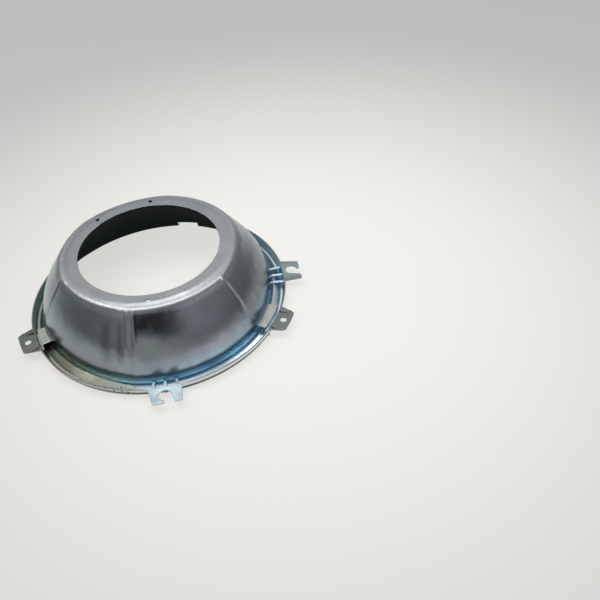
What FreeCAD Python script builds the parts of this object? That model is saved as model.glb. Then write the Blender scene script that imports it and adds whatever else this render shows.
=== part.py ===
import FreeCAD, Part
import math
import os

import Sketcher

# Headlamp bucket: a deep drawn sheet steel cup for a 7 inch round lamp.
#
# It rests on its wide side. The origin is the centre of the rim on the surface that it rests on,
# +Z points up to the flat ring round the opening, and azimuths run from +X towards +Y.
# The whole bucket is one blank, drawn, pierced and bent, so it is one solid.

SIZES = [
    # the sheet
    ("sheet_thickness", 0.9),
    # the drawn bowl, measured on its outside
    ("bowl_height", 48.7),
    ("bowl_girth_radius", 84.6),
    ("wall_round", 65.0),
    ("wall_round_level", -4.0),
    ("wall_lean", 37.0),
    ("shoulder_round", 3.0),
    ("foot_level", 4.6),
    # the three drawn in panels of its wall
    ("panel_azimuth", 116.0),
    ("panel_draw", 1.6),
    ("panel_axis_shift", 14.8),
    # the opening and three small holes through the flat ring round it
    ("opening_radius", 48.7),
    ("pilot_circle_radius", 54.3),
    ("pilot_hole_radius", 1.5),
    ("pilot_azimuth_first", 96.3),
    ("pilot_azimuth_second", 140.6),
    ("pilot_azimuth_third", 276.4),
    # the gutter round the mouth: sloping web, flat seat for the lamp's rim, upturned lip
    ("web_slope", 29.0),
    ("seat_inner_radius", 87.8),
    ("seat_outer_radius", 90.6),
    ("lip_foot_round", 2.2),
    ("lip_radius", 92.0),
    ("lip_height", 7.1),
    # the three lug pockets, pressed up across the gutter
    ("lug_azimuth_first", 81.0),
    ("lug_azimuth_second", 207.4),
    ("lug_azimuth_third", 337.6),
    ("pocket_angle_first", 12.6),
    ("pocket_angle_second", 10.8),
    ("pocket_angle_third", 15.0),
    ("pocket_height", 7.6),
    ("pocket_outer_radius", 88.9),
    ("pocket_gutter_level", 2.5),
    # the screw tab outside each pocket, with a pressed dart either side of its hole
    ("tab_reach", 102.1),
    ("tab_root_angle", 15.0),
    ("tab_end_angle", 9.8),
    ("tab_corner_round", 1.6),
    ("tab_hole_circle_radius", 96.9),
    ("tab_hole_radius", 2.3),
    ("dart_angle", 4.9),
    ("dart_width", 3.0),
    ("dart_height", 1.1),
    ("dart_reach", 100.0),
    # the two open forks for the aiming screws, which mirror each other
    ("fork_middle_azimuth", 323.5),
    ("fork_spread_angle", 90.8),
    ("fork_root_angle", 13.8),
    ("fork_reach", 104.0),
    ("fork_wide_side", 8.2),
    ("fork_narrow_side", 10.8),
    ("fork_seat_radius", 93.6),
    ("fork_seat_round", 4.2),
    ("fork_mouth_width", 6.4),
    ("fork_mouth_shift", 3.9),
    ("fork_corner_round", 1.0),
    # the ribs pressed across the gutter behind each fork
    ("rib_width", 2.0),
    ("rib_height", 4.2),
    ("rib_pitch_angle", 5.1),
]

DRAWN_PANELS = 3
RIBS_PER_FORK = 3

doc = FreeCAD.newDocument("headlamp_bucket")

sheet = doc.addObject("Spreadsheet::Sheet", "sizes")
for row, (alias, value) in enumerate(SIZES, start=1):
    sheet.set("A%d" % row, alias)
    sheet.set("B%d" % row, str(value))
    sheet.setAlias("B%d" % row, alias)
doc.recompute()


def size(alias):
    """The way an expression names a cell of the sheet."""
    return "sizes." + alias


def amount(expression):
    """The number that an expression gives, for geometry drawn where its constraints will hold it."""
    value = sheet.evalExpression(expression.replace("sizes.", ""))
    return float(getattr(value, "Value", value))


def polar(radius, azimuth):
    """A corner at a radius and an azimuth, as a pair of expressions."""
    return "(%s) * cos(%s)" % (radius, azimuth), "(%s) * sin(%s)" % (radius, azimuth)


# ---------------------------------------------------------------------------------------------
# Drawing and shaping. An outline is a list of corners, each a pair of expressions, and every
# corner and radius in it is held by a dimension that is bound to the sheet.


def new_body(name):
    body = doc.addObject("PartDesign::Body", name)
    body.Label = name
    return body


def new_sketch(body, name, role="XY_Plane", offset=("0", "0", "0")):
    """A sketch on one of the body's origin planes, moved by an offset in the sketch's own axes."""
    sketch = body.newObject("Sketcher::SketchObject", name)
    support = next(item for item in body.Origin.OriginFeatures if item.Role == role)
    sketch.AttachmentSupport = [(support, "")]
    sketch.MapMode = "FlatFace"
    for axis, expression in zip("xyz", offset):
        if expression != "0":
            sketch.setExpression("AttachmentOffset.Base." + axis, expression)
    return sketch


def hold(sketch, constraint, expression):
    """Add a dimension and bind it to the sheet."""
    index = sketch.addConstraint(constraint)
    sketch.setExpression("Constraints[%d]" % index, expression)


def arc_between(start, end, radius):
    """The shorter anticlockwise arc of a radius from one point to another."""
    chord = end - start
    rise = math.sqrt(radius * radius - chord.Length * chord.Length / 4)
    left = FreeCAD.Vector(-chord.y, chord.x, 0).normalize()
    centre = start + chord * 0.5 + left * rise
    start_angle = math.atan2(start.y - centre.y, start.x - centre.x)
    end_angle = math.atan2(end.y - centre.y, end.x - centre.x)
    circle = Part.Circle(centre, FreeCAD.Vector(0, 0, 1), radius)
    return Part.ArcOfCircle(circle, start_angle, end_angle)


def draw_outline(sketch, corners, outward=None, inward=None):
    """Draw a closed outline, anticlockwise.

    The edge that leaves a corner is straight, unless outward or inward gives that corner's number
    a radius: then it is an arc that bulges out of the outline or into it.
    """
    outward = outward or {}
    inward = inward or {}
    points = [FreeCAD.Vector(amount(x), amount(y), 0) for x, y in corners]
    edges = []
    for number, start in enumerate(points):
        end = points[(number + 1) % len(points)]
        if number in outward:
            geometry = sketch.addGeometry(arc_between(start, end, amount(outward[number])))
            edges.append((geometry, 1, 2))
        elif number in inward:
            geometry = sketch.addGeometry(arc_between(end, start, amount(inward[number])))
            edges.append((geometry, 2, 1))
        else:
            geometry = sketch.addGeometry(Part.LineSegment(start, end))
            edges.append((geometry, 1, 2))
    for number, (geometry, first, last) in enumerate(edges):
        following, next_first, _ = edges[(number + 1) % len(edges)]
        sketch.addConstraint(
            Sketcher.Constraint("Coincident", geometry, last, following, next_first)
        )
        point = points[number]
        x, y = corners[number]
        hold(sketch, Sketcher.Constraint("DistanceX", geometry, first, point.x), x)
        hold(sketch, Sketcher.Constraint("DistanceY", geometry, first, point.y), y)
        radius = outward.get(number) or inward.get(number)
        if radius:
            hold(sketch, Sketcher.Constraint("Radius", geometry, amount(radius)), radius)


def draw_circle(sketch, centre, radius):
    x, y = centre
    middle = FreeCAD.Vector(amount(x), amount(y), 0)
    circle = Part.Circle(middle, FreeCAD.Vector(0, 0, 1), amount(radius))
    geometry = sketch.addGeometry(circle)
    hold(sketch, Sketcher.Constraint("DistanceX", geometry, 3, middle.x), x)
    hold(sketch, Sketcher.Constraint("DistanceY", geometry, 3, middle.y), y)
    hold(sketch, Sketcher.Constraint("Radius", geometry, amount(radius)), radius)


def draw_sector(sketch, inner, outer, azimuth, half_angle):
    """Part of a flat ring about the origin, between two radii and either side of an azimuth."""
    start = "%s - %s" % (azimuth, half_angle)
    end = "%s + %s" % (azimuth, half_angle)
    corners = [polar(inner, start), polar(outer, start), polar(outer, end), polar(inner, end)]
    draw_outline(sketch, corners, outward={1: outer}, inward={3: inner})


def feature(body, kind, name, sketch, **settings):
    """A sketch-based feature. Its length, if it has one, is bound to the sheet."""
    made = body.newObject("PartDesign::" + kind, name)
    made.Profile = sketch
    for key, value in settings.items():
        if key == "Length":
            made.setExpression(key, value)
        else:
            setattr(made, key, value)
    doc.recompute()
    return made


def revolve(body, kind, name, sketch):
    return feature(body, kind, name, sketch, ReferenceAxis=(sketch, ["V_Axis"]), Angle=360)


def round_edges(body, name, radius, wanted):
    """Fillet the body's edges for which wanted(middle point) holds."""
    base = body.Tip
    names = []
    for number, edge in enumerate(base.Shape.Edges, start=1):
        if wanted(edge.valueAt((edge.FirstParameter + edge.LastParameter) / 2)):
            names.append("Edge%d" % number)
    made = body.newObject("PartDesign::Fillet", name)
    made.Base = (base, names)
    made.setExpression("Radius", radius)
    doc.recompute()
    return made


def near(a, b):
    return abs(a - b) < 0.05


# ---------------------------------------------------------------------------------------------
# The bowl's wall. From its foot it flares out into the gutter's web, rises in one long round,
# leans in as a straight cone and turns over the shoulder into the flat ring. The same line is
# drawn for the outside and, one sheet thickness further in, for the inside.

T = size("sheet_thickness")
SEAT_IN = size("seat_inner_radius")
SEAT_OUT = size("seat_outer_radius")
LIP_RADIUS = size("lip_radius")
LIP_HEIGHT = size("lip_height")
WEB = size("web_slope")
LEAN = size("wall_lean")
ROUND = size("wall_round")
ROUND_LEVEL = size("wall_round_level")
FOOT = size("foot_level")
HEIGHT = size("bowl_height")
SHOULDER = size("shoulder_round")
ABOVE = "(%s + 5)" % HEIGHT
BELOW = "(-3 * %s)" % T

FOOT_TURN = "asin((%s - %s) / %s)" % (FOOT, ROUND_LEVEL, ROUND)
ROUND_CENTRE = "(%s - %s)" % (size("bowl_girth_radius"), ROUND)
FOOT_X = "(%s + %s * cos(%s))" % (ROUND_CENTRE, ROUND, FOOT_TURN)
FLARE = "(((%s - %s) * sin(%s) + %s * cos(%s) - %s) / (1 - sin(%s + %s * 1 deg)))" % (
    FOOT_X, SEAT_IN, WEB, FOOT, WEB, T, FOOT_TURN, WEB,
)
FLARE_X = "(%s + %s * cos(%s))" % (FOOT_X, FLARE, FOOT_TURN)
FLARE_Y = "(%s + %s * sin(%s))" % (FOOT, FLARE, FOOT_TURN)
CONE_X = "(%s + %s * cos(%s))" % (ROUND_CENTRE, ROUND, LEAN)
CONE_Y = "(%s + %s * sin(%s))" % (ROUND_LEVEL, ROUND, LEAN)
CONE_RUN = "((%s - %s - %s + %s * sin(%s)) / cos(%s))" % (
    HEIGHT, SHOULDER, CONE_Y, SHOULDER, LEAN, LEAN,
)
SHOULDER_X = "(%s - %s * cos(%s) - %s * sin(%s))" % (CONE_X, SHOULDER, LEAN, CONE_RUN, LEAN)
SHOULDER_Y = "(%s - %s)" % (HEIGHT, SHOULDER)


def wall_line(inset, moved):
    """Corners and arc radii of the wall, from the web up to the flat ring.

    inset is the distance in from the outside, and moved is added to every radius.
    """

    def corner(x, y, reach, turn):
        return (
            "%s + %s + (%s) * cos(%s)" % (moved, x, reach, turn),
            "%s + (%s) * sin(%s)" % (y, reach, turn),
        )

    flare = "%s + %s" % (FLARE, inset)
    corners = [
        corner(FLARE_X, FLARE_Y, "-(%s)" % flare, "(90 - %s)" % WEB),
        corner(FLARE_X, FLARE_Y, "-(%s)" % flare, FOOT_TURN),
        corner(ROUND_CENTRE, ROUND_LEVEL, "%s - %s" % (ROUND, inset), LEAN),
        corner(SHOULDER_X, SHOULDER_Y, "%s - %s" % (SHOULDER, inset), LEAN),
        corner(SHOULDER_X, SHOULDER_Y, "%s - %s" % (SHOULDER, inset), "90"),
    ]
    radii = (flare, "%s - %s" % (ROUND, inset), "%s - %s" % (SHOULDER, inset))
    return corners, radii


def draw_bowl(body, inset, bottom):
    """A solid bowl with round full panels, and a drawn in panel between each two of them.

    A drawn in panel is the same wall turned about an axis that stands further back, so it is
    flatter, and a ridge runs down the wall where it meets a full one.
    """
    corners, (flare, wall, shoulder) = wall_line(inset, "0")
    sketch = new_sketch(body, body.Name + "_wall", "XZ_Plane")
    draw_outline(
        sketch,
        [("0", bottom), (corners[0][0], bottom)] + corners + [("0", corners[-1][1])],
        outward={3: wall, 5: shoulder},
        inward={2: flare},
    )
    revolve(body, "Revolution", body.Name + "_bowl", sketch)

    shift = size("panel_axis_shift")
    moved = "(%s - %s)" % (shift, size("panel_draw"))
    corners, (flare, wall, shoulder) = wall_line(inset, moved)
    outside = "(%s + %s + 20)" % (size("bowl_girth_radius"), shift)
    for number in range(DRAWN_PANELS):
        azimuth = "(%s + %g)" % (size("panel_azimuth"), 360 * number / DRAWN_PANELS)
        offset = ("-%s * cos(%s)" % (shift, azimuth), "0", "%s * sin(%s)" % (shift, azimuth))
        name = "%s_panel_%d" % (body.Name, number + 1)
        sketch = new_sketch(body, name + "_wall", "XZ_Plane", offset)
        draw_outline(
            sketch,
            [(corners[0][0], BELOW + " - 1"), (outside, BELOW + " - 1"), (outside, ABOVE),
             (corners[-1][0], ABOVE)] + corners[::-1],
            inward={4: shoulder, 6: wall},
            outward={7: flare},
        )
        revolve(body, "Groove", name, sketch)


# ---------------------------------------------------------------------------------------------
# The bowl, solid for now, and the gutter round its mouth: the web slopes down to the seat, which
# lies on the ground, and the lip leans outwards from it.

bucket = new_body("headlamp_bucket")
FLARE_END = wall_line("0", "0")[0][0][1]
draw_bowl(bucket, "0", "%s - %s / 2" % (FLARE_END, T))

WEB_START = "(%s - %s - 2 * %s)" % (size("bowl_girth_radius"), size("panel_draw"), T)
WEB_LEVEL = "(%s - %s) * tan(%s)" % (SEAT_IN, WEB_START, WEB)
LIP_LEAN = "atan((%s - %s) / %s)" % (LIP_RADIUS, SEAT_OUT, LIP_HEIGHT)

section = new_sketch(bucket, "gutter_section", "XZ_Plane")
draw_outline(
    section,
    [
        (WEB_START, WEB_LEVEL),
        (SEAT_IN, "0"),
        (SEAT_OUT, "0"),
        (LIP_RADIUS, LIP_HEIGHT),
        ("%s - %s / cos(%s)" % (LIP_RADIUS, T, LIP_LEAN), LIP_HEIGHT),
        ("%s - %s * tan((90 deg - %s) / 2)" % (SEAT_OUT, T, LIP_LEAN), T),
        ("%s + %s * tan(%s / 2)" % (SEAT_IN, T, WEB), T),
        (WEB_START, "%s + %s / cos(%s)" % (WEB_LEVEL, T, WEB)),
    ],
)
revolve(bucket, "Revolution", "gutter", section)

lip_foot = size("lip_foot_round")
seat_out = amount(SEAT_OUT)
inner_foot = seat_out - amount("%s * tan((90 deg - %s) / 2)" % (T, LIP_LEAN))
round_edges(
    bucket, "lip_foot_outside", lip_foot,
    lambda at: near(math.hypot(at.x, at.y), seat_out) and near(at.z, 0),
)
round_edges(
    bucket, "lip_foot_inside", "%s - %s" % (lip_foot, T),
    lambda at: near(math.hypot(at.x, at.y), inner_foot) and near(at.z, amount(T)),
)

# Each lug pocket is a step that bridges the gutter, with a raised gutter floor outside it.
POCKET_HEIGHT = size("pocket_height")
POCKET_OUT = size("pocket_outer_radius")
POCKET_FLOOR = size("pocket_gutter_level")
LIP_ROOT = "(%s - %s / 2)" % (LIP_RADIUS, T)
LIP_FOOT_IN = "(%s - %s)" % (SEAT_OUT, T)
POCKETS = [
    (size("lug_azimuth_" + which), size("pocket_angle_" + which))
    for which in ("first", "second", "third")
]

for number, (azimuth, angle) in enumerate(POCKETS, start=1):
    half = "(%s / 2)" % angle
    name = "pocket_step_%d" % number
    sketch = new_sketch(bucket, name + "_plan", offset=("0", "0", "%s / 2" % T))
    draw_sector(sketch, WEB_START, POCKET_OUT, azimuth, half)
    feature(bucket, "Pad", name, sketch, Length="%s - %s / 2" % (POCKET_HEIGHT, T))
    name = "pocket_floor_%d" % number
    sketch = new_sketch(bucket, name + "_plan", offset=("0", "0", "%s / 2" % T))
    draw_sector(sketch, "%s - %s" % (POCKET_OUT, T), LIP_ROOT + " - 0.3 * " + T, azimuth, half)
    feature(bucket, "Pad", name, sketch, Length="%s + %s / 2" % (POCKET_FLOOR, T))

# Low ribs stiffen the gutter behind each fork.
FORKS = [("(%s - %s / 2)", 1), ("(%s + %s / 2)", -1)]
FORKS = [
    (text % (size("fork_middle_azimuth"), size("fork_spread_angle")), side) for text, side in FORKS
]

for number, (azimuth, side) in enumerate(FORKS, start=1):
    for count in range(RIBS_PER_FORK):
        step = count - (RIBS_PER_FORK - 1) / 2
        at = "%s + %g * %s" % (azimuth, side * step, size("rib_pitch_angle"))
        name = "rib_%d_%d" % (number, count + 1)
        sketch = new_sketch(bucket, name + "_plan", offset=("0", "0", "%s / 2" % T))
        half = "(asin(%s / 2 / %s) / 1 deg)" % (size("rib_width"), SEAT_IN)
        draw_sector(sketch, WEB_START, SEAT_OUT, at, half)
        feature(bucket, "Pad", name, sketch, Length="%s - %s / 2" % (size("rib_height"), T))

# The screw tabs are bent out flat from the top of the lip.
TAB_LEVEL = "%s - %s" % (LIP_HEIGHT, T)
TAB_REACH = size("tab_reach")

for number, (azimuth, angle) in enumerate(POCKETS, start=1):
    name = "screw_tab_%d" % number
    sketch = new_sketch(bucket, name + "_plan", offset=("0", "0", TAB_LEVEL))
    root = size("tab_root_angle") + " / 2"
    end = size("tab_end_angle") + " / 2"
    draw_outline(
        sketch,
        [
            polar(LIP_ROOT, "%s - %s" % (azimuth, root)),
            polar(TAB_REACH, "%s - %s" % (azimuth, end)),
            polar(TAB_REACH, "%s + %s" % (azimuth, end)),
            polar(LIP_ROOT, "%s + %s" % (azimuth, root)),
        ],
        outward={1: TAB_REACH},
        inward={3: LIP_ROOT},
    )
    feature(bucket, "Pad", name, sketch, Length=T)

reach = amount(TAB_REACH)
round_edges(
    bucket, "screw_tab_corners", size("tab_corner_round"),
    lambda at: near(math.hypot(at.x, at.y), reach) and near(at.z, amount(LIP_HEIGHT) - amount(T) / 2),
)


# The forks are bent out the same way. A fork's outline is drawn in its own directions: out along
# its azimuth, and across towards its narrow prong.
def fork_corner(azimuth, side, out, across):
    return (
        "(%s) * cos(%s) - %d * (%s) * sin(%s)" % (out, azimuth, side, across, azimuth),
        "(%s) * sin(%s) + %d * (%s) * cos(%s)" % (out, azimuth, side, across, azimuth),
    )


def turned(corners, side):
    """The same outline, still anticlockwise when the fork is the mirrored one."""
    return corners if side > 0 else corners[::-1]


FORK_REACH = size("fork_reach")
SEAT_ROUND = size("fork_seat_round")
SEAT_CENTRE = "(%s + %s)" % (size("fork_seat_radius"), SEAT_ROUND)

for number, (azimuth, side) in enumerate(FORKS, start=1):
    name = "fork_%d" % number
    sketch = new_sketch(bucket, name + "_plan", offset=("0", "0", TAB_LEVEL))
    root = "%d * %s / 2" % (side, size("fork_root_angle"))
    corners = [
        polar(LIP_ROOT, "%s - %s" % (azimuth, root)),
        fork_corner(azimuth, side, FORK_REACH, "-" + size("fork_wide_side")),
        fork_corner(azimuth, side, FORK_REACH, size("fork_narrow_side")),
        polar(LIP_ROOT, "%s + %s" % (azimuth, root)),
    ]
    draw_outline(sketch, turned(corners, side), inward={3: LIP_ROOT})
    feature(bucket, "Pad", name, sketch, Length=T)

    sketch = new_sketch(bucket, name + "_seat_plan", offset=("0", "0", TAB_LEVEL + " - 1"))
    draw_circle(sketch, fork_corner(azimuth, side, SEAT_CENTRE, "0"), SEAT_ROUND)
    feature(bucket, "Pocket", name + "_seat", sketch, Length="%s + 2" % T, Reversed=True)

    sketch = new_sketch(bucket, name + "_mouth_plan", offset=("0", "0", TAB_LEVEL + " - 1"))
    mouth = size("fork_mouth_width")
    far = "%s + 5" % FORK_REACH
    inner_edge = "%s - %s" % (SEAT_ROUND, mouth)
    outer_edge = "%s + %s" % (SEAT_ROUND, size("fork_mouth_shift"))
    corners = [
        fork_corner(azimuth, side, SEAT_CENTRE, inner_edge),
        fork_corner(azimuth, side, far, "%s - %s" % (outer_edge, mouth)),
        fork_corner(azimuth, side, far, outer_edge),
        fork_corner(azimuth, side, SEAT_CENTRE, SEAT_ROUND),
    ]
    draw_outline(sketch, turned(corners, side))
    feature(bucket, "Pocket", name + "_mouth", sketch, Length="%s + 2" % T, Reversed=True)

# The tips of the prongs lie on the straight end of each fork, where its height is halfway.
fork_azimuths = [math.radians(amount(azimuth)) for azimuth, side in FORKS]
fork_reach = amount(FORK_REACH)
round_edges(
    bucket, "fork_corners", size("fork_corner_round"),
    lambda at: near(at.z, amount(LIP_HEIGHT) - amount(T) / 2) and any(
        near(at.x * math.cos(angle) + at.y * math.sin(angle), fork_reach)
        for angle in fork_azimuths
    ),
)

# ---------------------------------------------------------------------------------------------
# Hollowing. Nothing stays under the web, the inside of the bowl is cut out, and so are the
# hollows behind the pockets, which are open to the bowl.

sketch = new_sketch(bucket, "under_web_section", "XZ_Plane")
draw_outline(
    sketch,
    [(WEB_START, BELOW), (SEAT_IN, BELOW), (SEAT_IN, "0"), (WEB_START, WEB_LEVEL)],
)
revolve(bucket, "Groove", "under_web", sketch)

inside = new_body("bowl_inside")
draw_bowl(inside, T, BELOW)
hollow = bucket.newObject("PartDesign::Boolean", "bowl_hollow")
hollow.Type = "Cut"
hollow.setObjects([inside])
doc.recompute()

for number, (azimuth, angle) in enumerate(POCKETS, start=1):
    side_wall = "(asin(%s / %s) / 1 deg)" % (T, SEAT_IN)
    half = "(%s / 2 - %s)" % (angle, side_wall)
    name = "pocket_hollow_%d" % number
    sketch = new_sketch(bucket, name + "_plan", offset=("0", "0", "-" + T))
    draw_sector(sketch, WEB_START + " - 3 * " + T, "%s - %s" % (POCKET_OUT, T), azimuth, half)
    feature(bucket, "Pocket", name, sketch, Length=POCKET_HEIGHT, Reversed=True)
    name = "floor_hollow_%d" % number
    sketch = new_sketch(bucket, name + "_plan", offset=("0", "0", "-" + T))
    draw_sector(sketch, "%s - 2 * %s" % (POCKET_OUT, T), LIP_RADIUS + " + 1", azimuth, half)
    feature(bucket, "Pocket", name, sketch, Length="%s + %s" % (POCKET_FLOOR, T), Reversed=True)

# ---------------------------------------------------------------------------------------------
# Piercing: the opening and the small holes in the flat ring, and a screw hole in each tab.

PIERCED = [("opening", HEIGHT, polar("0", "0"), size("opening_radius"))]
for which in ("first", "second", "third"):
    centre = polar(size("pilot_circle_radius"), size("pilot_azimuth_" + which))
    PIERCED.append(("pilot_hole_" + which, HEIGHT, centre, size("pilot_hole_radius")))
    centre = polar(size("tab_hole_circle_radius"), size("lug_azimuth_" + which))
    PIERCED.append(("tab_hole_" + which, LIP_HEIGHT, centre, size("tab_hole_radius")))

for name, level, centre, radius in PIERCED:
    sketch = new_sketch(bucket, name + "_plan", offset=("0", "0", "%s - 2 * %s" % (level, T)))
    draw_circle(sketch, centre, radius)
    feature(bucket, "Pocket", name, sketch, Length="3 * " + T, Reversed=True)

# ---------------------------------------------------------------------------------------------
# A dart either side of each screw hole stiffens the tab's bend and tapers away outwards.

for number, (azimuth, angle) in enumerate(POCKETS, start=1):
    for side in (-1, 1):
        name = "dart_%d_%s" % (number, "left" if side < 0 else "right")
        sketch = new_sketch(bucket, name + "_section", "XZ_Plane")
        sketch.AttachmentOffset = FreeCAD.Placement(
            FreeCAD.Vector(0, 0, 0), FreeCAD.Rotation(FreeCAD.Vector(0, 1, 0), 1)
        )
        sketch.setExpression(
            "AttachmentOffset.Rotation.Angle", "%s + %d * %s" % (azimuth, side, size("dart_angle"))
        )
        middle = "%s - %s / 2" % (LIP_HEIGHT, T)
        draw_outline(
            sketch,
            [
                (LIP_ROOT, middle),
                (size("dart_reach"), middle),
                (size("dart_reach"), LIP_HEIGHT),
                (LIP_ROOT, "%s + %s" % (LIP_HEIGHT, size("dart_height"))),
            ],
        )
        feature(bucket, "Pad", name, sketch, SideType="Symmetric", Length=size("dart_width"))

# ---------------------------------------------------------------------------------------------
# Check every object, then write the part.

doc.recompute()
for item in doc.Objects:
    if "Invalid" in item.State or "Error" in item.State:
        raise RuntimeError("%s failed: %s" % (item.Name, item.State))

shape = bucket.Shape
if shape.isNull() or not shape.isValid() or len(shape.Solids) != 1:
    raise RuntimeError("headlamp_bucket isn't one valid solid")

os.makedirs("parts", exist_ok=True)
shape.exportStep("parts/headlamp_bucket.step")
print("headlamp_bucket: %.0f mm3 of steel, %d faces" % (shape.Volume, len(shape.Faces)))
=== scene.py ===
import math

import bpy
from mathutils import Matrix, Vector


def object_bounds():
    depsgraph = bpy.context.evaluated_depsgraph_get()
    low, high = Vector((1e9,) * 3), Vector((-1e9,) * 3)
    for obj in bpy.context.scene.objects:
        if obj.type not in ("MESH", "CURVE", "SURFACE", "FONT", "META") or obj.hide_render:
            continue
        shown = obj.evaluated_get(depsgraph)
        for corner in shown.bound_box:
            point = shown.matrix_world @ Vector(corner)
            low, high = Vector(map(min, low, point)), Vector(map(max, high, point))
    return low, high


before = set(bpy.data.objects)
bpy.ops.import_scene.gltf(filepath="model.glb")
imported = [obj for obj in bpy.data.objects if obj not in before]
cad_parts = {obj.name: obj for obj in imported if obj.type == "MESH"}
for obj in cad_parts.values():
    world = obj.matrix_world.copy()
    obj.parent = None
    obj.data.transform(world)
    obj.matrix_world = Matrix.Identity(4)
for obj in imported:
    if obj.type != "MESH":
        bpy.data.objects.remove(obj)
cad_low, cad_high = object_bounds()

# ------------------------------------------------------------------------------------------------
# Bright zinc plating: a group that gives a plated surface its cloudiness, the fine upright lines
# of a drawn wall, and its dull blotches.

LINES_AROUND = 11.0
LINES_DOWN = 16.0

plating = bpy.data.node_groups.new("zinc_plating", "ShaderNodeTree")
for name in ("Around", "Height"):
    plating.interface.new_socket(name, in_out="INPUT", socket_type="NodeSocketFloat")
for name in ("Drawn Lines", "Cloud", "Blotch"):
    plating.interface.new_socket(name, in_out="OUTPUT", socket_type="NodeSocketFloat")


def add_node(tree, kind, inputs=None, **settings):
    """Add a shader node. An input is another node's socket, or a plain value."""
    node = tree.nodes.new("ShaderNode" + kind)
    for key, value in settings.items():
        setattr(node, key, value)
    for key, value in (inputs or {}).items():
        if isinstance(value, bpy.types.NodeSocket):
            tree.links.new(value, node.inputs[key])
        else:
            node.inputs[key].default_value = value
    return node


def calculate(tree, operation, *terms):
    """One step of arithmetic on values or sockets."""
    return add_node(tree, "Math", dict(enumerate(terms)), operation=operation).outputs[0]


def product(tree, *factors):
    """Masks and values multiplied together."""
    result = factors[0]
    for factor in factors[1:]:
        result = calculate(tree, "MULTIPLY", result, factor)
    return result


def between(tree, value, start, end):
    """A mask that rises smoothly from 0 to 1 as the value goes from start to end."""
    if start < end:
        inputs = {"Value": value, "From Min": start, "From Max": end}
        return add_node(tree, "MapRange", inputs, interpolation_type="SMOOTHSTEP").outputs[0]
    falling = between(tree, value, end, start)
    return calculate(tree, "SUBTRACT", 1.0, falling)


def peak_at(tree, value, centre, half_width):
    """A mask that is 1 where the value is at a centre and fades to 0 at half_width from it."""
    distance = calculate(tree, "ABSOLUTE", calculate(tree, "SUBTRACT", value, centre))
    return between(tree, distance, half_width, 0.0)


plating_in = plating.nodes.new("NodeGroupInput")
plating_out = plating.nodes.new("NodeGroupOutput")
unrolled = add_node(
    plating, "CombineXYZ",
    {"X": product(plating, plating_in.outputs["Around"], LINES_AROUND),
     "Y": product(plating, plating_in.outputs["Height"], LINES_DOWN)},
)
lines = add_node(
    plating, "TexNoise",
    {"Vector": unrolled.outputs[0], "Scale": 5.0, "Detail": 4.0, "Roughness": 0.6},
)
place = add_node(plating, "TexCoord").outputs["Object"]
clouds = add_node(
    plating, "TexNoise", {"Vector": place, "Scale": 28.0, "Detail": 3.0, "Roughness": 0.55}
)
blotches = add_node(
    plating, "TexNoise",
    {"Vector": place, "Scale": 110.0, "Detail": 5.0, "Roughness": 0.6, "Distortion": 0.8},
)
plating.links.new(lines.outputs["Fac"], plating_out.inputs["Drawn Lines"])
plating.links.new(clouds.outputs["Fac"], plating_out.inputs["Cloud"])
plating.links.new(blotches.outputs["Fac"], plating_out.inputs["Blotch"])

# ------------------------------------------------------------------------------------------------
# The headlamp bucket. One sheet of steel, deep drawn into a panelled bowl with a gutter, a lip,
# lug pockets, screw tabs and forks, then zinc plated. It has a rust stain on the front left lip.

# Heights and radii in metres. The lip leans out from its foot, and the tabs lie at its height.
RING_HEIGHT = cad_high.z
SHOULDER_RADIUS = 0.0600
GUTTER_TOP = 0.0080
LIP_HEIGHT = 0.0071
LIP_RADIUS = 0.0920
LIP_FOOT_RADIUS = 0.0895

# Azimuths in degrees: 0 on the right, 90 at the back, 180 on the left and 270 in front.
FRONT_FORK = 278.1
SIDE_FORK = 8.9
FRONT_RIDGE_BEADS = (263.6, 267.4)
SIDE_RIDGES = (326.0, 206.0)
LEFT_POCKET_FRONT = 212.0

# Where a tint or a mark sets in: the value at which it starts, and the one at which it is full.
RIGHTWARD = (-0.045, 0.030)
IN_FRONT = (-0.020, -0.070)
FAR_RIGHT = (0.045, 0.075)
LOW_WALL = (0.026, 0.013)
WIDE_FOOT = (0.024, 0.008)
NARROW_FOOT = (0.014, 0.006)
FACING_UP = (0.70, 0.86)
UPRIGHT = (0.5, 0.3)
POCKET_TOP = (0.0060, 0.0065)
POCKET_EDGE = (0.0825, 0.0835)
LIP_FACE_MIDDLE = (0.0035, 0.0045)
REFLECTION_STREAK_TOP = (0.044, 0.038)
REFLECTION_STREAK_BOTTOM = (0.013, 0.024)
GREENISH_TINT_LEFT = (266.0, 269.0)
GREENISH_TINT_RIGHT = (292.0, 280.0)
PATCH_LEFT = (266.8, 269.0)
PATCH_RIGHT = (294.0, 274.0)
PATCH_BOTTOM = (0.0310, 0.0400)
PATCH_TOP = (0.0470, 0.0455)
PITS_LEFT = (247.0, 249.0)
PITS_RIGHT = (267.0, 265.0)
PITS_INNER_EDGE = (0.0855, 0.0862)
BEAD_BOTTOM = (0.014, 0.034)

# Centres and half widths, in degrees or, for the greenish tint, in metres of height.
BROAD_REFLECTION_STREAKS = ((252.0, 4.5), (259.8, 2.6))
FINE_REFLECTION_STREAKS = (256.0, 10.0)
GREENISH_TINT_BAND = (0.028, 0.012)
RUST_STAIN = (226.0, 20.0)

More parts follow.
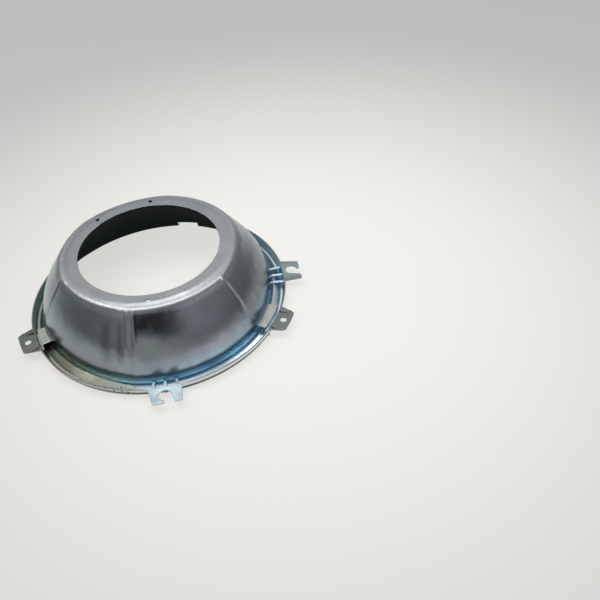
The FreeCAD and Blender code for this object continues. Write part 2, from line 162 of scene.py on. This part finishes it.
RING_COLOUR = (0.34, 0.36, 0.37, 1)
WALL_COLOUR = (0.47, 0.51, 0.57, 1)
LEFT_WALL_REFLECTION_COLOUR = (0.32, 0.39, 0.40, 1)
LOWER_WALL_SHADE_COLOUR = (0.25, 0.27, 0.31, 1)
FAR_WALL_SHADE_COLOUR = (0.16, 0.185, 0.20, 1)
FOOT_LEFT_REFLECTION_COLOUR = (0.42, 0.53, 0.50, 1)
FOOT_RIGHT_REFLECTION_COLOUR = (0.52, 0.76, 1.0, 1)
GUTTER_LEFT_REFLECTION_COLOUR = (0.38, 0.39, 0.30, 1)
GUTTER_RIGHT_REFLECTION_COLOUR = (0.70, 0.77, 0.83, 1)
POCKET_COLOUR = (0.46, 0.48, 0.44, 1)
TAB_COLOUR = (0.165, 0.183, 0.17, 1)
FORK_COLOUR = (0.31, 0.375, 0.41, 1)
REFLECTION_STREAK_COLOUR = (0.10, 0.11, 0.12, 1)
GREENISH_TINT_COLOUR = (0.46, 0.56, 0.50, 1)
DARK_REFLECTION_COLOUR = (0.012, 0.008, 0.008, 1)
CLOUD_COLOUR = (0.22, 0.23, 0.25, 1)
BLOTCH_COLOUR = (0.72, 0.74, 0.70, 1)
INSIDE_SHADE_COLOUR = (0.010, 0.014, 0.015, 1)
LIP_INNER_SHADE_COLOUR = (0.10, 0.17, 0.17, 1)
LIP_OUTER_SHADE_COLOUR = (0.10, 0.11, 0.11, 1)
POCKET_END_SHADOW_COLOUR = (0.07, 0.035, 0.035, 1)
RUST_COLOUR = (0.16, 0.075, 0.035, 1)
PIT_COLOUR = (0.04, 0.035, 0.03, 1)

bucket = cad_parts["headlamp_bucket"]
steel = bpy.data.materials.new("zinc_plated_steel")
steel.use_nodes = True
tree = steel.node_tree
shader = tree.nodes["Principled BSDF"]


def blend_colour(tree, mask, first, second):
    """Mix two colours by a mask."""
    node = tree.nodes.new("ShaderNodeMix")
    node.data_type = "RGBA"
    # On a Mix node these are the factor and the two colours.
    for index, value in ((0, mask), (6, first), (7, second)):
        if isinstance(value, bpy.types.NodeSocket):
            tree.links.new(value, node.inputs[index])
        else:
            node.inputs[index].default_value = value
    return node.outputs[2]


# Where a point lies, and which way its face looks. Turned by half a circle and back, the azimuth
# runs from 0 to 360 instead of from -180 to 180.
spot = add_node(tree, "TexCoord").outputs["Object"]
east, north, height = add_node(tree, "SeparateXYZ", {0: spot}).outputs
radius = calculate(
    tree, "SQRT",
    calculate(
        tree, "ADD", calculate(tree, "POWER", east, 2.0), calculate(tree, "POWER", north, 2.0)
    ),
)
turned_half = calculate(tree, "ARCTAN2", product(tree, north, -1.0), product(tree, east, -1.0))
around = calculate(tree, "ADD", calculate(tree, "DEGREES", turned_half), 180.0)
geometry = add_node(tree, "NewGeometry")
normal_east, normal_north, normal_up = add_node(
    tree, "SeparateXYZ", {0: geometry.outputs["Normal"]}
).outputs
# This is the outward share of the normal times the radius, so it is below 0 on an inner face.
outward = calculate(
    tree, "ADD", product(tree, normal_east, east), product(tree, normal_north, north)
)
levelness = calculate(tree, "ABSOLUTE", normal_up)

finish = tree.nodes.new("ShaderNodeGroup")
finish.node_tree = plating
tree.links.new(calculate(tree, "RADIANS", around), finish.inputs["Around"])
tree.links.new(height, finish.inputs["Height"])
drawn_lines, cloud, blotch = finish.outputs

# Painted reflections: the colours go from greenish on the left to bluish on the right. The wall
# is painted darker low down in front, and at the far right, as painted shade.
rightward = between(tree, east, *RIGHTWARD)
wall = blend_colour(tree, rightward, LEFT_WALL_REFLECTION_COLOUR, WALL_COLOUR)
foot = blend_colour(tree, rightward, FOOT_LEFT_REFLECTION_COLOUR, FOOT_RIGHT_REFLECTION_COLOUR)
gutter = blend_colour(tree, rightward, GUTTER_LEFT_REFLECTION_COLOUR, GUTTER_RIGHT_REFLECTION_COLOUR)
low_in_front = product(tree, between(tree, height, *LOW_WALL), between(tree, north, *IN_FRONT))
wall = blend_colour(tree, low_in_front, wall, LOWER_WALL_SHADE_COLOUR)
wall = blend_colour(tree, between(tree, east, *FAR_RIGHT), wall, FAR_WALL_SHADE_COLOUR)

# The foot's band of colour is a painted reflection. It is narrow on the left, and spreads up the
# wall on the right.
wide_band = between(tree, height, *WIDE_FOOT)
narrow_band = between(tree, height, *NARROW_FOOT)
foot_reflection_band = calculate(
    tree, "MULTIPLY_ADD", wide_band, product(tree, rightward, 0.5),
    product(tree, narrow_band, 0.5),
)
foot_reflection_band = calculate(
    tree, "MULTIPLY_ADD", narrow_band, calculate(tree, "MULTIPLY_ADD", rightward, -0.5, 0.5),
    foot_reflection_band,
)
colour = blend_colour(tree, foot_reflection_band, wall, foot)

# The flat ring, the gutter, the tops of its pockets, the tabs and the forks have their own tints.
# The gutter's tint is a painted reflection, cream on the left and blue-white on the right.
at_ring = between(tree, height, RING_HEIGHT - 0.003, RING_HEIGHT)
colour = blend_colour(tree, at_ring, colour, RING_COLOUR)
on_gutter = product(
    tree, between(tree, normal_up, *FACING_UP),
    between(tree, height, GUTTER_TOP + 0.001, GUTTER_TOP),
)
colour = blend_colour(tree, on_gutter, colour, gutter)
on_pocket = product(tree, on_gutter, between(tree, height, *POCKET_TOP))
colour = blend_colour(tree, on_pocket, colour, POCKET_COLOUR)
on_tab = product(
    tree, between(tree, radius, LIP_RADIUS - 0.0012, LIP_RADIUS - 0.0004),
    between(tree, height, LIP_HEIGHT - 0.002, LIP_HEIGHT),
)
on_fork = calculate(
    tree, "MAXIMUM", peak_at(tree, around, FRONT_FORK, 18.0), peak_at(tree, around, SIDE_FORK, 10.0)
)
tab = blend_colour(tree, on_fork, TAB_COLOUR, FORK_COLOUR)
colour = blend_colour(tree, on_tab, colour, tab)

# Two broad dark streaks, and finer ones, are painted reflections down the panel to the left of
# the front ridge.
broad_reflection_streaks = calculate(
    tree, "ADD", *(peak_at(tree, around, centre, half) for centre, half in BROAD_REFLECTION_STREAKS)
)
fine_reflection_streaks = product(
    tree, between(tree, drawn_lines, 0.42, 0.68), peak_at(tree, around, *FINE_REFLECTION_STREAKS)
)
reflection_streaks = product(
    tree, calculate(tree, "MULTIPLY_ADD", fine_reflection_streaks, 0.4, broad_reflection_streaks),
    between(tree, height, *REFLECTION_STREAK_TOP), between(tree, height, *REFLECTION_STREAK_BOTTOM), 0.45,
)
colour = blend_colour(tree, reflection_streaks, colour, REFLECTION_STREAK_COLOUR)

# The panel to the right of that ridge has a greenish tint, and above it a painted reflection of a
# dark thing in front.
greenish_tint = product(
    tree, between(tree, around, *GREENISH_TINT_LEFT), between(tree, around, *GREENISH_TINT_RIGHT),
    peak_at(tree, height, *GREENISH_TINT_BAND), 0.6,
)
colour = blend_colour(tree, greenish_tint, colour, GREENISH_TINT_COLOUR)
painted_dark_reflection = product(
    tree, between(tree, around, *PATCH_LEFT), between(tree, around, *PATCH_RIGHT),
    between(tree, height, *PATCH_BOTTOM), between(tree, height, *PATCH_TOP), 0.93,
)
colour = blend_colour(tree, painted_dark_reflection, colour, DARK_REFLECTION_COLOUR)

# A darker cloudiness and faint pale blotches lie over the whole outside.
clouded = product(tree, between(tree, cloud, 0.42, 0.66), 0.35)
colour = blend_colour(tree, clouded, colour, CLOUD_COLOUR)
blotched = product(tree, between(tree, blotch, 0.54, 0.70), 0.10)
colour = blend_colour(tree, blotched, colour, BLOTCH_COLOUR)

# The inside is painted dark, as painted shade, and made dull. The inner face of the lip is painted
# dark too, as painted shade.
in_bowl = between(tree, radius, LIP_RADIUS - 0.003, LIP_RADIUS - 0.004)
inside = product(tree, between(tree, outward, -0.0005, -0.004), in_bowl)
colour = blend_colour(tree, inside, colour, INSIDE_SHADE_COLOUR)
lip_inner_shade = product(
    tree, between(tree, outward, -0.02, -0.07), calculate(tree, "SUBTRACT", 1.0, in_bowl), 0.9
)
colour = blend_colour(tree, lip_inner_shade, colour, LIP_INNER_SHADE_COLOUR)

# The outer face of the lip is painted dark along its lower half, as painted shade, and takes the
# gutter's painted reflection colour above it.
lip_outer = product(
    tree, between(tree, outward, 0.02, 0.06),
    between(tree, radius, LIP_FOOT_RADIUS - 0.0002, LIP_FOOT_RADIUS + 0.0005),
    between(tree, height, LIP_HEIGHT - 0.0002, LIP_HEIGHT - 0.0006),
)
lip_face_shade_and_reflection = blend_colour(tree, between(tree, height, *LIP_FACE_MIDDLE), LIP_OUTER_SHADE_COLOUR, gutter)
colour = blend_colour(tree, lip_outer, colour, lip_face_shade_and_reflection)

# The upright ends of the left pocket are painted dark as painted shadow, the front one most.
pocket_end_shadows = product(
    tree, between(tree, calculate(tree, "ABSOLUTE", outward), 0.055, 0.040),
    between(tree, levelness, *UPRIGHT), between(tree, radius, *POCKET_EDGE),
    between(tree, radius, LIP_FOOT_RADIUS + 0.0005, LIP_FOOT_RADIUS),
    peak_at(tree, around, LEFT_POCKET_FRONT, 30.0),
)
colour = blend_colour(tree, pocket_end_shadows, colour, POCKET_END_SHADOW_COLOUR)

# Rust creeps along the outside of the lip, from the left tab towards the front.
rust = product(
    tree, between(tree, blotch, 0.34, 0.50), peak_at(tree, around, *RUST_STAIN),
    between(tree, radius, LIP_FOOT_RADIUS, LIP_RADIUS - 0.0005),
)
colour = blend_colour(tree, product(tree, rust, 0.85), colour, RUST_COLOUR)

# Small pits lie in the gutter and on the lip, to the left of the front fork.
pits = add_node(tree, "TexVoronoi", {"Vector": spot, "Scale": 330.0, "Randomness": 0.8})
pit = product(
    tree, between(tree, pits.outputs["Distance"], 0.30, 0.22),
    between(tree, around, *PITS_LEFT), between(tree, around, *PITS_RIGHT),
    between(tree, radius, *PITS_INNER_EDGE), calculate(tree, "MAXIMUM", on_gutter, lip_outer),
)
colour = blend_colour(tree, pit, colour, PIT_COLOUR)
tree.links.new(colour, shader.inputs["Base Color"])

# Rust and pits are hardly metallic.
unplated = calculate(tree, "MAXIMUM", rust, pit)
metal = calculate(tree, "SUBTRACT", 1.0, product(tree, unplated, 0.8))
tree.links.new(metal, shader.inputs["Metallic"])

# The shoulder is a wide soft roll, so the sheet already falls away on both sides of the bend.
from_shoulder = calculate(
    tree, "MAXIMUM", calculate(tree, "SUBTRACT", RING_HEIGHT, height),
    calculate(tree, "SUBTRACT", SHOULDER_RADIUS, radius),
)
roll = product(
    tree, between(tree, from_shoulder, 0.0055, 0.0), calculate(tree, "SUBTRACT", 1.0, inside)
)

# The finish is duller where it is cloudy or lined, on the roll, in pits and rust, and inside.
rough = calculate(tree, "MULTIPLY_ADD", cloud, 0.12, 0.13)
for mask, share in ((drawn_lines, 0.10), (unplated, 0.35), (inside, 0.45), (roll, 0.16)):
    rough = calculate(tree, "MULTIPLY_ADD", mask, share, rough)
tree.links.new(rough, shader.inputs["Roughness"])

# The front ridge is drawn into a narrow double bead, and the side ridges into single ones. The
# sheet is slightly wavy, with fine drawn lines.
double_bead = calculate(
    tree, "ADD", *(peak_at(tree, around, centre, 1.8) for centre in FRONT_RIDGE_BEADS)
)
single_beads = calculate(
    tree, "ADD", *(peak_at(tree, around, centre, 2.6) for centre in SIDE_RIDGES)
)
beads = product(
    tree, calculate(tree, "MULTIPLY_ADD", single_beads, 1.8, double_bead),
    between(tree, height, *BEAD_BOTTOM),
    between(tree, height, RING_HEIGHT, RING_HEIGHT - 0.003),
)
relief = product(tree, beads, 0.4)
for form, share in ((cloud, 0.8), (roll, -0.55), (drawn_lines, 0.04)):
    relief = calculate(tree, "MULTIPLY_ADD", form, share, relief)
edge = add_node(tree, "Bevel", {"Radius": 0.0004}, samples=4)
dented = add_node(
    tree, "Bump",
    {"Height": relief, "Distance": 0.0012, "Strength": 0.8, "Normal": edge.outputs[0]},
)
tree.links.new(dented.outputs[0], shader.inputs["Normal"])

bucket.data.materials.clear()
bucket.data.materials.append(steel)

# ------------------------------------------------------------------------------------------------
# The floor: one large pale sheet of paper, a little darker away from the middle. It glows in part,
# to the camera and in reflections, so that its colour is seen nearly as it is written.

FLOOR_HALF = 6.0
FLOOR_CENTRE = Vector((0.10, 0.0, 0.0))
FLOOR_MIDDLE_COLOUR = (0.845, 0.84, 0.81, 1)
FLOOR_FAR_COLOUR = (0.50, 0.50, 0.49, 1)
GLOW_SHARE = 0.8
GLOW_STRENGTH = 1.03

floor_mesh = bpy.data.meshes.new("floor")
floor_mesh.from_pydata(
    [(x * FLOOR_HALF, y * FLOOR_HALF, 0) for x, y in ((-1, -1), (1, -1), (1, 1), (-1, 1))],
    [], [(0, 1, 2, 3)],
)
floor = bpy.data.objects.new("floor", floor_mesh)
bpy.context.scene.collection.objects.link(floor)

paper = bpy.data.materials.new("pale_paper")
paper.use_nodes = True
tree = paper.node_tree
shader = tree.nodes["Principled BSDF"]
shader.inputs["Roughness"].default_value = 0.9
shader.inputs["Specular IOR Level"].default_value = 0.1
spot = add_node(tree, "TexCoord").outputs["Object"]
away = add_node(tree, "VectorMath", {0: spot, 1: FLOOR_CENTRE}, operation="DISTANCE")
shade = between(tree, away.outputs["Value"], 0.05, 0.50)
colour = blend_colour(tree, shade, FLOOR_MIDDLE_COLOUR, FLOOR_FAR_COLOUR)
tree.links.new(colour, shader.inputs["Base Color"])
rays = add_node(tree, "LightPath")
seen = calculate(
    tree, "MAXIMUM", rays.outputs["Is Camera Ray"],
    calculate(tree, "MAXIMUM", rays.outputs["Is Glossy Ray"], rays.outputs["Is Transmission Ray"]),
)
glow = add_node(tree, "Emission", {"Color": colour, "Strength": GLOW_STRENGTH})
mixed = add_node(
    tree, "MixShader",
    {0: product(tree, seen, GLOW_SHARE), 1: shader.outputs[0], 2: glow.outputs[0]},
)
tree.links.new(mixed.outputs[0], tree.nodes["Material Output"].inputs["Surface"])
floor_mesh.materials.append(paper)

# ------------------------------------------------------------------------------------------------
# Light: a pale room that is brightest overhead and at the back, one large soft lamp above the
# bucket, and a smaller one on each side of it.

ROOM_LOW_COLOUR = (0.46, 0.46, 0.48, 1)
ROOM_HIGH_COLOUR = (1.0, 1.0, 1.0, 1)
DARK_SPOT_WAY = Vector((0.16, -0.76, 0.62)).normalized()

scene = bpy.context.scene
world = bpy.data.worlds.new("room")
scene.world = world
world.use_nodes = True
tree = world.node_tree
way = add_node(tree, "TexCoord").outputs["Generated"]
sideways, backward, upward = add_node(tree, "SeparateXYZ", {0: way}).outputs
ramp = tree.nodes.new("ShaderNodeValToRGB")
ramp.color_ramp.elements[0].color = ROOM_LOW_COLOUR
ramp.color_ramp.elements[1].color = ROOM_HIGH_COLOUR
tree.links.new(upward, ramp.inputs[0])
from_front = add_node(
    tree, "MapRange",
    {"Value": backward, "From Min": -0.8, "From Max": 0.8, "To Min": 0.55, "To Max": 1.05},
)
# The sides of the room are darker, and a round dark spot lies high in front.
at_side = between(tree, calculate(tree, "ABSOLUTE", sideways), 0.2, 0.9)
towards_spot = add_node(tree, "VectorMath", {0: way, 1: DARK_SPOT_WAY}, operation="DOT_PRODUCT")
dark_spot = between(tree, towards_spot.outputs["Value"], 0.93, 0.975)
strength = product(
    tree, from_front.outputs[0], calculate(tree, "MULTIPLY_ADD", at_side, -0.5, 1.0),
    calculate(tree, "MULTIPLY_ADD", dark_spot, -0.9, 1.0),
)
tree.links.new(ramp.outputs[0], tree.nodes["Background"].inputs["Color"])
tree.links.new(strength, tree.nodes["Background"].inputs["Strength"])


def add_softbox(name, place, width, power):
    """A square lamp that faces the bucket, its width in metres and its power in watts."""
    light = bpy.data.lights.new(name, "AREA")
    light.size = width
    light.energy = power
    lamp = bpy.data.objects.new(name, light)
    lamp.location = place
    lamp.rotation_euler = (-Vector(place)).to_track_quat("-Z", "Y").to_euler()
    scene.collection.objects.link(lamp)


add_softbox("overhead_softbox", (-0.12, 0.12, 1.0), 0.75, 5.5)
add_softbox("left_softbox", (-0.60, 0.05, 0.80), 0.30, 1.6)
add_softbox("right_softbox", (0.55, 0.15, 0.85), 0.25, 1.2)

# ------------------------------------------------------------------------------------------------
# The camera looks down on the bucket from the front, with the bucket left of the middle.

AIM = Vector((0.10186, -0.01115, 0))
DISTANCE = 0.47361
PITCH = math.radians(44.14)
ROLL = math.radians(-3.33)
SENSOR_WIDTH = 36.0
LENS = 38.92

look = Vector((0, math.cos(PITCH), -math.sin(PITCH)))
level = Vector((1, 0, 0))
upright = level.cross(look)
side = level * math.cos(ROLL) + upright * math.sin(ROLL)
top = upright * math.cos(ROLL) - level * math.sin(ROLL)
camera_data = bpy.data.cameras.new("camera")
camera_data.sensor_width = SENSOR_WIDTH
camera_data.lens = LENS
camera = bpy.data.objects.new("camera", camera_data)
turned = Matrix((side, top, -look)).transposed().to_4x4()
camera.matrix_world = Matrix.Translation(AIM - look * DISTANCE) @ turned
scene.collection.objects.link(camera)
scene.camera = camera
scene.view_settings.view_transform = "Standard"
